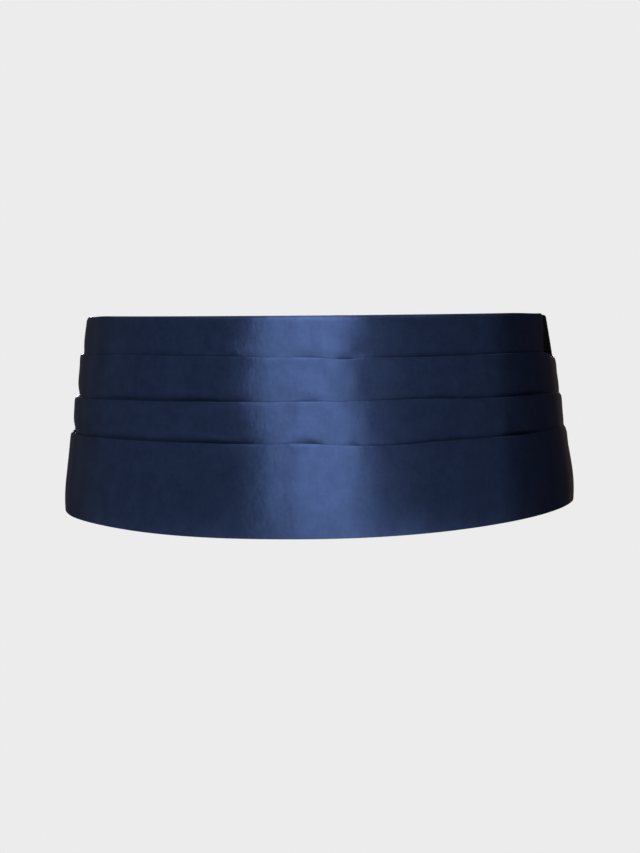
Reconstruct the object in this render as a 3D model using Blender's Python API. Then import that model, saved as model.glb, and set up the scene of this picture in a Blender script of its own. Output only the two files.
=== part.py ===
import math
from collections import namedtuple

import bmesh
import bpy

# Sizes are in millimetres and angles in degrees. A drop is measured down from the top edge of the
# front panel, and an offset is measured out from the middle of the cloth.
MM = 0.001

# The ring that the garment follows, seen from above. 0 degrees is the centre front and 180 the back.
HALF_WIDTH = 140.0
DEPTH_SHARE = 0.752
ROUNDNESS = 2.23
FLARE = 0.165
FLARE_EASE = 0.00028
TOP_HEIGHT = 20.0

CLOTH = 1.0
GAP = 0.3
PITCH = CLOTH + GAP
FOLD_RADIUS = PITCH / 2

# The first tier stops at the side seam, and the lower ones run on behind it to the panel's end.
SEAM_ANGLE = 84.0
SEAM_TOP_SHIFT = 2.0
SEAM_FOLD_SHIFT = -3.0
SEAM_SHIFT_FROM = 60.0
PANEL_END = 128.0
FRONT_STEPS = 32
TAIL_STEPS = 9
FOLD_STEPS = 4

# Each line that crosses the panel: its drop at centre front, how far it rises to the side, how much
# it rises more past the hip, its drop at the panel's end, and the angle where it turns towards that.
Line = namedtuple("Line", "front side_rise hip_rise end turns_at")
TOP_EDGE = Line(front=0.0, side_rise=1.0, hip_rise=0.0, end=0.0, turns_at=97.0)
FOLD_LINES = (
    Line(front=24.1, side_rise=2.1, hip_rise=0.0, end=25.5, turns_at=80.0),
    Line(front=49.8, side_rise=2.5, hip_rise=0.0, end=34.0, turns_at=97.0),
    Line(front=74.4, side_rise=7.5, hip_rise=0.0, end=42.5, turns_at=97.0),
)
HEM_LINE = Line(front=128.6, side_rise=10.3, hip_rise=2.7, end=51.0, turns_at=95.0)

# How deep each pleat is tucked behind the one below it, and where that depth tapers away.
Underlay = namedtuple("Underlay", "depth end_depth tapers_from tapers_to")
UNDERLAYS = (
    Underlay(depth=12.0, end_depth=2.5, tapers_from=60.0, tapers_to=78.0),
    Underlay(depth=12.0, end_depth=2.5, tapers_from=90.0, tapers_to=122.0),
    Underlay(depth=12.0, end_depth=2.5, tapers_from=90.0, tapers_to=122.0),
)
FACE_STEPS = (2, 2, 2, 3)

# A stretch where a fold hangs a little lower than its line says, or higher where the depth is negative.
Sag = namedtuple("Sag", "fold angle spread depth")
SAGS = (
    Sag(fold=0, angle=-44.0, spread=14.0, depth=-1.1),
    Sag(fold=0, angle=-22.0, spread=16.0, depth=-0.9),
    Sag(fold=0, angle=13.0, spread=5.0, depth=1.2),
    Sag(fold=0, angle=33.0, spread=14.0, depth=0.7),
    Sag(fold=0, angle=94.0, spread=11.0, depth=3.6),
    Sag(fold=1, angle=-104.0, spread=9.0, depth=0.8),
    Sag(fold=1, angle=-78.0, spread=6.0, depth=0.8),
    Sag(fold=1, angle=5.0, spread=8.0, depth=-0.2),
    Sag(fold=1, angle=30.0, spread=12.0, depth=-0.8),
    Sag(fold=1, angle=74.0, spread=10.0, depth=-0.6),
    Sag(fold=1, angle=101.0, spread=8.0, depth=2.6),
    Sag(fold=2, angle=-79.0, spread=6.0, depth=1.6),
    Sag(fold=2, angle=-30.0, spread=18.0, depth=-0.5),
    Sag(fold=2, angle=3.0, spread=8.0, depth=-0.6),
    Sag(fold=2, angle=21.0, spread=12.0, depth=1.2),
    Sag(fold=2, angle=63.0, spread=6.0, depth=0.5),
    Sag(fold=2, angle=103.0, spread=9.0, depth=4.2),
)

# The top edge and the straps behind it sink a little towards the panel's ends: from, to, depth.
TOP_SAGS = ((64.0, 80.0, 0.6), (-54.0, -70.0, 0.8))

# Where the hem hangs a little lower: angle, spread, depth.
HEM_SAGS = ((-72.0, 18.0, 0.9), (-20.0, 40.0, 0.3))

STRAP_WIDTH = 35.0
STRAP_CLOTH = 1.0
STRAP_START = 72.0
STRAP_SIDE_DROP = -0.4
STRAP_BACK_DROP = 11.5
STRAP_DIPS_FROM = 84.0
STRAP_DIPS_TO = 142.0
STRAP_OFFSET = -3.6
STRAP_TOP_LEAN = 2.0
STRAP_LEAN_DEPTH = 21.5
STRAP_LEAN_FROM = 97.0
STRAP_LEAN_TO = 150.0
STRAP_TUCK = 20.0
STRAP_ROWS = 5
STRAP_RUN_STEPS = 26
STRAP_TUCK_STEPS = 4

# The clasp. Its edges are distances out from the centre back, and its plates hang in the straps' loops.
METAL = 1.2
LOOP_DEPTH = METAL / 2 + GAP + STRAP_CLOTH / 2
LOOP_SLACK = 0.1
BEND_STEPS = 6
CLASP_RAIL = 2.0
CLASP_MARGIN = 0.5
CLASP_END = 19.5
BAR_EDGE = 17.0
SLOT_EDGE = 13.5
HOOK_PLATE_EDGE = 4.5
TONGUE_HEIGHT = 14.0
TONGUE_RISE_END = 0.5
TONGUE_RISE_STEPS = 4
TONGUE_TIP = 0.0
TONGUE_RADIUS = 1.6
WINDOW_HEIGHT = 16.0
WINDOW_OUTER = 10.5
WINDOW_INNER = 4.0
EYE_EDGE = 0.5
METAL_BEVEL = 0.2

# Rows and columns of a clasp plate: the rails are its first and last rows, and the slot is one column.
RAIL_ROWS = (0, 4)
MIDDLE_ROW = 2
SLOT_COLUMN = 1
WINDOW_COLUMN = 3


def smooth(start, end, value):
    share = min(1.0, max(0.0, (value - start) / (end - start)))
    return share * share * (3 - 2 * share)


def mix(a, b, share):
    return a + (b - a) * share


def signed_power(value, exponent):
    return math.copysign(abs(value) ** exponent, value)


def half_width(drop):
    return HALF_WIDTH - CLOTH / 2 + FLARE * drop - FLARE_EASE * drop * abs(drop)


def ring_point(angle, drop, offset):
    """A point beside the ring, in metres."""
    sine, cosine = math.sin(math.radians(angle)), math.cos(math.radians(angle))
    wide = half_width(drop)
    deep = wide * DEPTH_SHARE
    x = wide * signed_power(sine, 2 / ROUNDNESS)
    y = -deep * signed_power(cosine, 2 / ROUNDNESS)
    out_x = signed_power(x / wide, ROUNDNESS - 1) / wide
    out_y = signed_power(y / deep, ROUNDNESS - 1) / deep
    length = math.hypot(out_x, out_y)
    x += offset * out_x / length
    y += offset * out_y / length
    return (x * MM, y * MM, (TOP_HEIGHT - drop) * MM)


def line_drop(line, angle):
    turn = math.radians(angle)
    drop = line.front - line.side_rise * (1 - math.cos(turn)) - line.hip_rise * (1 - math.cos(2 * turn))
    return mix(drop, line.end, smooth(line.turns_at, PANEL_END, abs(angle)))


def top_sag(angle):
    return sum(depth * smooth(start, end, angle) for start, end, depth in TOP_SAGS)


def hem_drop(angle):
    drop = line_drop(HEM_LINE, angle)
    for middle, spread, depth in HEM_SAGS:
        drop += depth * math.exp(-(((angle - middle) / spread) ** 2))
    return drop


def fold_drop(index, angle):
    drop = line_drop(FOLD_LINES[index], angle)
    for sag in SAGS:
        if sag.fold == index:
            drop += sag.depth * math.exp(-(((angle - sag.angle) / sag.spread) ** 2))
    return drop


def pleated_section(angle):
    """The cloth's middle line at one angle, from the top edge to the hem, as (offset, drop) pairs."""
    folds = [fold_drop(index, angle) for index in range(len(FOLD_LINES))]
    tops = [line_drop(TOP_EDGE, angle) + top_sag(angle)] + folds
    bottoms = folds + [hem_drop(angle)]
    points = []
    for tier, (top, bottom) in enumerate(zip(tops, bottoms)):
        top_offset = PITCH if tier else 0.0
        bottom_offset = -PITCH if tier < len(folds) else 0.0

        def face(drop, top=top, bottom=bottom, top_offset=top_offset, bottom_offset=bottom_offset):
            return mix(top_offset, bottom_offset, (drop - top) / (bottom - top))

        start = top
        if tier:
            tuck = UNDERLAYS[tier - 1]
            depth = mix(tuck.depth, tuck.end_depth, smooth(tuck.tapers_from, tuck.tapers_to, abs(angle)))
            turn_drop = top + depth - FOLD_RADIUS
            start = top + FOLD_RADIUS
            for step in range(FOLD_STEPS + 1):
                turn = math.pi * step / FOLD_STEPS
                middle = face(turn_drop) - 1.5 * PITCH
                points.append((middle - FOLD_RADIUS * math.cos(turn), turn_drop + FOLD_RADIUS * math.sin(turn)))
            for step in range(FOLD_STEPS):
                turn = math.pi * step / FOLD_STEPS
                middle = face(start) - 0.5 * PITCH
                points.append((middle - FOLD_RADIUS * math.cos(turn), start - FOLD_RADIUS * math.sin(turn)))
        for step in range(FACE_STEPS[tier] + 1):
            drop = mix(start, bottom, step / FACE_STEPS[tier])
            points.append((face(drop), drop))
    return points


def beside(points, distance):
    """The same line moved sideways, to the left of its direction when the distance is positive."""
    moved = []
    for index, (across, along) in enumerate(points):
        before = points[max(index - 1, 0)]
        after = points[min(index + 1, len(points) - 1)]
        run_across, run_along = after[0] - before[0], after[1] - before[1]
        length = math.hypot(run_across, run_along)
        moved.append((across + distance * run_along / length, along - distance * run_across / length))
    return moved


def closed_wall(name, outer, inner, keep, material):
    """A solid between two grids of points, with only the cells that keep(row, column) allows."""
    rows, columns = len(outer), len(outer[0])
    mesh = bmesh.new()
    corners = {}

    def corner(side, row, column):
        key = (side, row, column)
        if key not in corners:
            corners[key] = mesh.verts.new((outer, inner)[side][row][column])
        return corners[key]

    def kept(row, column):
        return 0 <= row < rows - 1 and 0 <= column < columns - 1 and keep(row, column)

    for row in range(rows - 1):
        for column in range(columns - 1):
            if not kept(row, column):
                continue
            around = ((row, column), (row, column + 1), (row + 1, column + 1), (row + 1, column))
            mesh.faces.new([corner(0, *place) for place in around])
            mesh.faces.new([corner(1, *place) for place in reversed(around)])
            beyond = ((row - 1, column), (row, column + 1), (row + 1, column), (row, column - 1))
            for edge, neighbour in enumerate(beyond):
                if kept(*neighbour):
                    continue
                first, second = around[edge], around[(edge + 1) % 4]
                mesh.faces.new((corner(0, *second), corner(0, *first), corner(1, *first), corner(1, *second)))
    bmesh.ops.recalc_face_normals(mesh, faces=mesh.faces)
    return finished_object(name, mesh, material)


def finished_object(name, mesh, material):
    data = bpy.data.meshes.new(name)
    mesh.to_mesh(data)
    mesh.free()
    data.materials.append(material)
    data.shade_smooth()
    data.set_sharp_from_angle(angle=math.radians(50))
    made = bpy.data.objects.new(name, data)
    bpy.context.scene.collection.objects.link(made)
    return made


def make_material(name, colour, roughness, metallic=0.0, sheen=0.0):
    material = bpy.data.materials.new(name)
    material.use_nodes = True
    material.diffuse_color = (*colour, 1.0)
    shader = material.node_tree.nodes["Principled BSDF"]
    shader.inputs["Base Color"].default_value = (*colour, 1.0)
    shader.inputs["Roughness"].default_value = roughness
    shader.inputs["Metallic"].default_value = metallic
    shader.inputs["Sheen Weight"].default_value = sheen
    return material


def panel_stations():
    tail = [mix(SEAM_ANGLE, PANEL_END, step / TAIL_STEPS) for step in range(1, TAIL_STEPS + 1)]
    front = [mix(-SEAM_ANGLE, SEAM_ANGLE, step / FRONT_STEPS) for step in range(FRONT_STEPS + 1)]
    return [-angle for angle in reversed(tail)] + front + tail


def make_front_panel(material):
    stations = panel_stations()
    first_tier_rows = FACE_STEPS[0] + 1 + FOLD_STEPS // 2
    fold_row = FACE_STEPS[0]

    def slanted(angle, row):
        # The first tier's end leans forward from the top edge down to the first fold.
        shift = mix(SEAM_TOP_SHIFT, SEAM_FOLD_SHIFT, min(row, fold_row) / fold_row)
        shift *= 1 - smooth(first_tier_rows, first_tier_rows + FOLD_STEPS, row)
        shift *= smooth(SEAM_SHIFT_FROM, SEAM_ANGLE, abs(angle))
        shift *= 1 - smooth(SEAM_ANGLE, PANEL_END, abs(angle))
        return angle + shift * math.copysign(1.0, angle)

    sections = [pleated_section(angle) for angle in stations]
    rows = len(sections[0])
    grids = []
    for distance in (CLOTH / 2, -CLOTH / 2):
        moved = [beside(section, distance) for section in sections]
        grids.append([
            [ring_point(slanted(angle, row), moved[column][row][1], moved[column][row][0])
             for column, angle in enumerate(stations)]
            for row in range(rows)
        ])

    def keep(row, column):
        in_front = TAIL_STEPS <= column < TAIL_STEPS + FRONT_STEPS
        return in_front or row >= first_tier_rows

    return closed_wall("front_panel", grids[0], grids[1], keep, material)


def back_angle(distance):
    """The angle of a place this far from the centre back, measured across."""
    wide = half_width(STRAP_BACK_DROP + STRAP_WIDTH / 2)
    return math.copysign(180 - math.degrees(math.asin((abs(distance) / wide) ** (ROUNDNESS / 2))), distance)


def strap_top(angle):
    side_drop = STRAP_SIDE_DROP + top_sag(angle)
    return mix(side_drop, STRAP_BACK_DROP, smooth(STRAP_DIPS_FROM, STRAP_DIPS_TO, abs(angle)))


def strap_point(angle, share, depth):
    """A point on the strap's middle surface, moved out by depth. Share runs from its top edge to its bottom."""
    drop = strap_top(angle) + STRAP_WIDTH * share
    lean = STRAP_TOP_LEAN * max(0.0, 1 - (drop - STRAP_SIDE_DROP) / STRAP_LEAN_DEPTH)
    lean *= 1 - smooth(STRAP_LEAN_FROM, STRAP_LEAN_TO, abs(angle))
    return ring_point(angle, drop, STRAP_OFFSET + lean + depth)


def make_strap(name, side, material):
    turn_at = BAR_EDGE + LOOP_SLACK
    grids = []
    for half in (STRAP_CLOTH / 2, -STRAP_CLOTH / 2):
        columns = []
        for step in range(STRAP_RUN_STEPS):
            columns.append((mix(STRAP_START, back_angle(turn_at), step / STRAP_RUN_STEPS), half))
        for step in range(BEND_STEPS + 1):
            turn = math.pi * step / BEND_STEPS
            reach = LOOP_DEPTH + half
            columns.append((back_angle(turn_at - reach * math.sin(turn)), reach * math.cos(turn) - LOOP_DEPTH))
        for step in range(1, STRAP_TUCK_STEPS + 1):
            along = STRAP_TUCK * step / STRAP_TUCK_STEPS
            columns.append((back_angle(turn_at + along), -2 * LOOP_DEPTH - half))
        grids.append([
            [strap_point(side * angle, row / (STRAP_ROWS - 1), depth) for angle, depth in columns]
            for row in range(STRAP_ROWS)
        ])
    return closed_wall(name, grids[0], grids[1], lambda row, column: True, material)


def make_clasp_plate(name, side, path, levels, keep, material):
    """A bent plate. The path is its (distance, depth) line, and the levels are heights in the strap's width."""
    grids = []
    for half in (METAL / 2, -METAL / 2):
        line = beside(path, half)
        grids.append([
            [strap_point(back_angle(side * distance), level / STRAP_WIDTH, depth - LOOP_DEPTH)
             for distance, depth in line]
            for level in levels
        ])
    plate = closed_wall(name, grids[0], grids[1], keep, material)
    bevel = plate.modifiers.new("eased edges", "BEVEL")
    bevel.width = METAL_BEVEL * MM
    bevel.segments = 1
    bevel.limit_method = "ANGLE"
    bevel.angle_limit = math.radians(60)
    return plate


def clasp_levels(opening):
    middle = STRAP_WIDTH / 2
    rail = CLASP_MARGIN + CLASP_RAIL
    return [-rail, -CLASP_MARGIN, middle - opening / 2, middle + opening / 2,
            STRAP_WIDTH + CLASP_MARGIN, STRAP_WIDTH + rail]


def make_clasp_hook(material):
    path = [(CLASP_END, 0.0), (BAR_EDGE, 0.0), (SLOT_EDGE, 0.0), (HOOK_PLATE_EDGE, 0.0)]
    tongue_column = len(path) - 1
    for step in range(1, TONGUE_RISE_STEPS + 1):
        share = step / TONGUE_RISE_STEPS
        path.append((mix(HOOK_PLATE_EDGE, TONGUE_RISE_END, share), TONGUE_RADIUS * smooth(0.0, 1.0, share)))
    turn_at = LOOP_SLACK - WINDOW_INNER
    for step in range(BEND_STEPS + 1):
        turn = math.pi * step / BEND_STEPS
        path.append((turn_at - TONGUE_RADIUS * math.sin(turn), TONGUE_RADIUS * math.cos(turn)))
    path.append((TONGUE_TIP, -TONGUE_RADIUS))

    def keep(row, column):
        if column == SLOT_COLUMN:
            return row in RAIL_ROWS
        return column < tongue_column or row == MIDDLE_ROW

    return make_clasp_plate("clasp_hook", 1, path, clasp_levels(TONGUE_HEIGHT), keep, material)


def make_clasp_eye(material):
    path = [(CLASP_END, 0.0), (BAR_EDGE, 0.0), (SLOT_EDGE, 0.0),
            (WINDOW_OUTER, 0.0), (WINDOW_INNER, 0.0), (EYE_EDGE, 0.0)]

    def keep(row, column):
        if column == SLOT_COLUMN:
            return row in RAIL_ROWS
        return column != WINDOW_COLUMN or row != MIDDLE_ROW

    return make_clasp_plate("clasp_eye", -1, path, clasp_levels(WINDOW_HEIGHT), keep, material)


def main():
    for found in list(bpy.data.objects):
        bpy.data.objects.remove(found)
    satin = make_material("navy satin", (0.018, 0.024, 0.062), roughness=0.38)
    elastic = make_material("black woven elastic", (0.008, 0.008, 0.009), roughness=0.85, sheen=0.2)
    steel = make_material("nickel plated steel", (0.55, 0.54, 0.52), roughness=0.3, metallic=1.0)
    make_front_panel(satin)
    make_strap("strap_left", -1, elastic)
    make_strap("strap_right", 1, elastic)
    make_clasp_hook(steel)
    make_clasp_eye(steel)


main()
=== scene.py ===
import math

import bmesh
import bpy
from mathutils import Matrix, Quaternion, Vector


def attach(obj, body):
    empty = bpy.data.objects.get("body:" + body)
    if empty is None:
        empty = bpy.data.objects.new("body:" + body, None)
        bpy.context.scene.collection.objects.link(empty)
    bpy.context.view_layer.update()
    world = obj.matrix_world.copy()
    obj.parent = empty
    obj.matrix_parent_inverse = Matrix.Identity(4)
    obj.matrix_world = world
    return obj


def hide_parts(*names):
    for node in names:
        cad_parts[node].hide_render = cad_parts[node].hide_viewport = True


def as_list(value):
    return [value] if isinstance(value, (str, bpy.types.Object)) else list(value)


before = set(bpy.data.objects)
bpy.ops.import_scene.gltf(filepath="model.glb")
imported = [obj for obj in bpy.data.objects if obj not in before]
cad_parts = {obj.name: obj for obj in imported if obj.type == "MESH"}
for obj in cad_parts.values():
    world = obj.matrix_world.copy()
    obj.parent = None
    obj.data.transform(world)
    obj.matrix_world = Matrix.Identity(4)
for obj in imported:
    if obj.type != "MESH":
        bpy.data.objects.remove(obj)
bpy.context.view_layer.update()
mm = 0.001

# Sizes are in millimetres and angles in degrees. A drop is measured down from the top edge and an
# offset out from the ring. 0 degrees is the centre front, and + runs towards +X.
ring = {
    "halfWidth": 139.5, "depthShare": 0.752, "roundness": 2.23,
    "flare": 0.165, "flareEase": 0.00028, "topHeight": 20,
    "degree": 2.3,   # how far round the front one degree goes
}


def smooth(start, end, value):
    share = min(1.0, max(0.0, (value - start) / (end - start)))
    return share * share * (3 - 2 * share)


def mix(a, b, share):
    return a + (b - a) * share


def spaced(start, end, count):
    return [mix(start, end, step / count) for step in range(count + 1)]


def bell(value, spread):
    return math.exp(-((value / spread) ** 2))


def signedPower(value, exponent):
    return math.copysign(abs(value) ** exponent, value)


def halfWidth(drop):
    return ring["halfWidth"] + ring["flare"] * drop - ring["flareEase"] * drop * abs(drop)


def ringPoint(angle, drop, offset):
    sine, cosine = math.sin(math.radians(angle)), math.cos(math.radians(angle))
    wide = halfWidth(drop)
    deep = wide * ring["depthShare"]
    power = ring["roundness"]
    x = wide * signedPower(sine, 2 / power)
    y = -deep * signedPower(cosine, 2 / power)
    outX = signedPower(x / wide, power - 1) / wide
    outY = signedPower(y / deep, power - 1) / deep
    length = math.hypot(outX, outY)
    return Vector(((x + offset * outX / length) * mm, (y + offset * outY / length) * mm,
                   (ring["topHeight"] - drop) * mm))


def beside(points, distance):
    # the same line moved sideways, to the left of its direction
    moved = []
    for index, (across, along) in enumerate(points):
        before = points[max(index - 1, 0)]
        after = points[min(index + 1, len(points) - 1)]
        runAcross, runAlong = after[0] - before[0], after[1] - before[1]
        length = math.hypot(runAcross, runAlong)
        moved.append((across + distance * runAlong / length, along - distance * runAcross / length))
    return moved


def linear(hexColour):
    values = [int(hexColour[i:i + 2], 16) / 255 for i in (1, 3, 5)]
    return tuple(v / 12.92 if v <= 0.04045 else ((v + 0.055) / 1.055) ** 2.4 for v in values) + (1.0,)


def addNode(tree, kind, inputs=None, **settings):
    node = tree.nodes.new(kind)
    for name, value in settings.items():
        setattr(node, name, value)
    for name, value in (inputs or {}).items():
        if isinstance(value, bpy.types.NodeSocket):
            tree.links.new(value, node.inputs[name])
        else:
            node.inputs[name].default_value = value
    return node


def newMaterial(name, **sockets):
    material = bpy.data.materials.new(name)
    material.use_nodes = True
    shader = material.node_tree.nodes["Principled BSDF"]
    for socket, value in sockets.items():
        shader.inputs[socket.replace("_", " ")].default_value = value
    return material, material.node_tree, shader


def noise(tree, place, scale, detail, roughness=0.5):
    return addNode(tree, "ShaderNodeTexNoise", {
        "Vector": place, "Scale": scale, "Detail": detail, "Roughness": roughness}).outputs["Fac"]


def dress(tree, shader, share, deep, light, *reliefs):
    # a base colour between two tones, and bumps of (height, strength, depth), each on the one before
    tone = addNode(tree, "ShaderNodeMix", {0: share, 6: linear(deep), 7: linear(light)},
                   data_type="RGBA")
    tree.links.new(tone.outputs[2], shader.inputs["Base Color"])
    under = {}
    for height, strength, depth in reliefs:
        bump = addNode(tree, "ShaderNodeBump", {"Height": height, "Strength": strength,
                                                "Distance": depth * mm, **under})
        under = {"Normal": bump.outputs["Normal"]}
    tree.links.new(bump.outputs["Normal"], shader.inputs["Normal"])


def takeMesh(name, mesh):
    data = bpy.data.meshes.new(name)
    mesh.to_mesh(data)
    mesh.free()
    return data


def evaluatedMesh(holder):
    bpy.context.view_layer.update()
    ready = holder.evaluated_get(bpy.context.evaluated_depsgraph_get())
    return bpy.data.meshes.new_from_object(ready)


def meshObject(name, data, *materials):
    for material in materials:
        data.materials.append(material)
    made = bpy.data.objects.new(name, data)
    bpy.context.scene.collection.objects.link(made)
    return made


def closedShell(name, outer, inner, keep, materials, places=None):
    # a closed wall between two grids of points, with only the cells that keep(row, column) allows
    rows, columns = len(outer), len(outer[0])
    mesh = bmesh.new()
    layer = mesh.loops.layers.uv.new("clothPlace") if places else None
    corners, spots = {}, {}

    def corner(side, row, column):
        key = (side, row, column)
        if key not in corners:
            corners[key] = mesh.verts.new((outer, inner)[side][row][column])
            if places:
                spots[corners[key]] = places[row][column]
        return corners[key]

    def kept(row, column):
        return 0 <= row < rows - 1 and 0 <= column < columns - 1 and keep(row, column)

    for row in range(rows - 1):
        for column in range(columns - 1):
            if not kept(row, column):
                continue
            around = ((row, column), (row, column + 1), (row + 1, column + 1), (row + 1, column))
            mesh.faces.new([corner(0, *place) for place in around])
            back = mesh.faces.new([corner(1, *place) for place in reversed(around)])
            back.material_index = len(materials) - 1
            beyond = ((row - 1, column), (row, column + 1), (row + 1, column), (row, column - 1))
            for edge, neighbour in enumerate(beyond):
                if not kept(*neighbour):
                    first, second = around[edge], around[(edge + 1) % 4]
                    mesh.faces.new((corner(0, *second), corner(0, *first),
                                    corner(1, *first), corner(1, *second)))
    bmesh.ops.recalc_face_normals(mesh, faces=mesh.faces)
    for face in mesh.faces:
        face.smooth = True
        for loop in face.loops:
            if layer:
                loop[layer].uv = spots[loop.vert]
    data = takeMesh(name, mesh)
    data.set_sharp_from_angle(angle=math.radians(55))
    return meshObject(name, data, *materials)


# Satin's long floats lie side by side like combed fibre: light smears along the drop, the gloss takes
# the dye's colour, and the turned-under reverse is dull.
satin = {
    "dye": "#394d77", "dyeDeep": "#2e3d62", "reverse": "#131d38", "reverseLight": "#1c2a50",
    "metallic": 0.85, "roughness": 0.35, "anisotropy": 0.93,
    "floatLength": 20, "floatPitch": 0.9,   # real floats are 0.15 mm apart, drawn coarser to show
    "slubLength": 16, "slubWidth": 1.6, "slubShare": 0.15,
    "puckerSize": 9, "crinkleSize": 2.4, "patchSize": 12,
    "fleckSize": 2.2,   # where a cross thread shows between the floats
    "puckerHeight": 0.09, "crinkleHeight": 0.033, "slubHeight": 0.008, "floatHeight": 0.004,
}


def makeSatin():
    material, tree, shader = newMaterial("navy woven satin", Metallic=satin["metallic"],
                                         Roughness=satin["roughness"], Anisotropic=satin["anisotropy"])
    place = addNode(tree, "ShaderNodeUVMap", uv_map="clothPlace")   # u runs down the cloth, v along it
    slubPlace = addNode(tree, "ShaderNodeMapping", {
        "Vector": place.outputs["UV"], "Scale": (1 / satin["slubLength"], 1 / satin["slubWidth"], 1.0)})
    slub = noise(tree, slubPlace.outputs["Vector"], 1.0, 3.0, 0.55)
    floatPlace = addNode(tree, "ShaderNodeMapping", {
        "Vector": place.outputs["UV"],
        "Scale": (1 / satin["floatLength"], 1 / satin["floatPitch"], 1.0)})
    floats = noise(tree, floatPlace.outputs["Vector"], 1.0, 1.0)
    spots = {}
    for name, detail, roughness in (("pucker", 2.0, 0.5), ("crinkle", 1.0, 0.4), ("patch", 5.0, 0.8),
                                    ("fleck", 2.0, 0.7)):
        spots[name] = noise(tree, place.outputs["UV"], 1 / satin[name + "Size"], detail, roughness)
    # the dye drifts with the slubs and patches, and is deep at the flecks
    mottle = addNode(tree, "ShaderNodeMath", {0: slub, 1: satin["slubShare"], 2: spots["patch"]},
                     operation="MULTIPLY_ADD")
    share = addNode(tree, "ShaderNodeMapRange", {"Value": mottle.outputs[0], "From Min": 0.35,
                                                 "From Max": 0.8})
    clear = addNode(tree, "ShaderNodeMapRange", {"Value": spots["fleck"], "From Min": 0.27,
                                                 "From Max": 0.37})
    even = addNode(tree, "ShaderNodeMath", {0: share.outputs["Result"], 1: clear.outputs["Result"]},
                   operation="MULTIPLY")
    dress(tree, shader, even.outputs[0], satin["dyeDeep"], satin["dye"],
          (spots["pucker"], 1.0, satin["puckerHeight"]),
          (spots["crinkle"], 1.0, satin["crinkleHeight"]),
          (slub, 1.0, satin["slubHeight"]), (floats, 1.0, satin["floatHeight"]))
    grain = addNode(tree, "ShaderNodeTangent", direction_type="UV_MAP", uv_map="clothPlace")
    tree.links.new(grain.outputs["Tangent"], shader.inputs["Tangent"])
    return material


def makeSatinReverse():
    # the reverse shows the short cross floats, so it is nearly matt. A wave repeats every
    # pi / (10 * its scale), here 1.3 mm, which is coarser than the real weave so that it shows
    material, tree, shader = newMaterial("satin reverse", Roughness=0.75, Sheen_Weight=0.15)
    place = addNode(tree, "ShaderNodeUVMap", uv_map="clothPlace")
    weave = addNode(tree, "ShaderNodeTexWave", {"Vector": place.outputs["UV"], "Scale": 0.25,
                                                "Distortion": 1.0, "Detail": 1.0}, bands_direction="X")
    dress(tree, shader, weave.outputs["Fac"], satin["reverse"], satin["reverseLight"],
          (weave.outputs["Fac"], 0.6, 0.05))
    return material


panel = {
    "cloth": 0.34, "layerPitch": 0.42, "faceOffset": 0.3,
    "seamAngle": 84, "endAngle": 128,
    "seamTopShift": 2, "seamFoldShift": -3, "shiftsFrom": 60,
    "topTurning": 10, "hemTurning": 12, "fullHem": 20, "edgeRoll": 0.55, "rollWidth": 1.4,
    "topRoll": 0.9, "topRollReach": 2.4,
    "foldRoll": 0.06, "foldRollReach": 1.7, "sideRollReach": 4.4, "rollWidens": (70, 92),
    "foldLift": 0.09, "liftReach": 6, "foldDip": 0.05, "dipAbove": 3, "dipBelow": 2.5,
    "leftDipAbove": 5.8, "dipWidens": (-8, -24), "leftDipShare": 1.6, "dipDeepens": (-8, -30),
    "hemCurl": 2.6, "hemCurlReach": 20, "curlShare": 0.45, "sideHemCurl": 1.4,
    "curlEases": (36, 64),
    "reliefFade": 3, "creaseReach": 22,
    "arcDrop": 60,   # where the cloth's length round the panel is measured
    "frontColumns": 196, "frontInset": 1, "seamInsets": (0.65, 0.35, 0.15, 0),
    "tailColumns": 40, "tailInset": 0.8, "endInsets": (0.5, 0.25, 0.1, 0), "crowding": 0.12,
    "faceRows": (20, 20, 20, 34), "hiddenRows": 4, "foldRows": 6, "turningRows": 5,
}
# each line: its drop in front, rise to the side, more rise past the hip, drop at the panel's end, and
# the angle where it starts to turn to that
topEdge = (0, 1, 0, 0, 97)
topSags = ((64, 80, 0.6), (-54, -70, 0.8))     # it sinks towards both ends: from, to, depth
foldLines = ((24.1, 2.1, 0, 25.5, 80), (49.8, 2.5, 0, 34, 97), (74.4, 7.5, 0, 42.5, 97))
hemLine = (128.6, 10.3, 2.7, 51, 95)
hemSags = ((-72, 18, 0.9), (-20, 40, 0.3))     # where the hem hangs lower: angle, spread, depth
# how deep each pleat goes in front, and at its ends, and the angles between which it tapers
underlays = ((12, 2.5, 60, 78), (12, 2.5, 90, 122), (12, 2.5, 90, 122))
# where a fold hangs lower (or higher) than its line: fold, angle, spread, depth
foldSags = (
    (0, -44, 14, -1.1), (0, -22, 16, -0.9), (0, 13, 5, 1.2), (0, 33, 14, 0.7),
    (0, 94, 11, 3.6), (1, -104, 9, 0.8), (1, -78, 6, 0.8), (1, 5, 8, -0.2),
    (1, 12, 1.5, 0.4), (1, 30, 12, -0.8), (1, 74, 10, -0.6), (1, 101, 8, 2.6),
    (2, -79, 6, 1.6), (2, -30, 18, -0.5), (2, 3, 8, -0.6), (2, 21, 12, 1.2),
    (2, 63, 6, 0.5), (2, 103, 9, 4.2),
)
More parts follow.
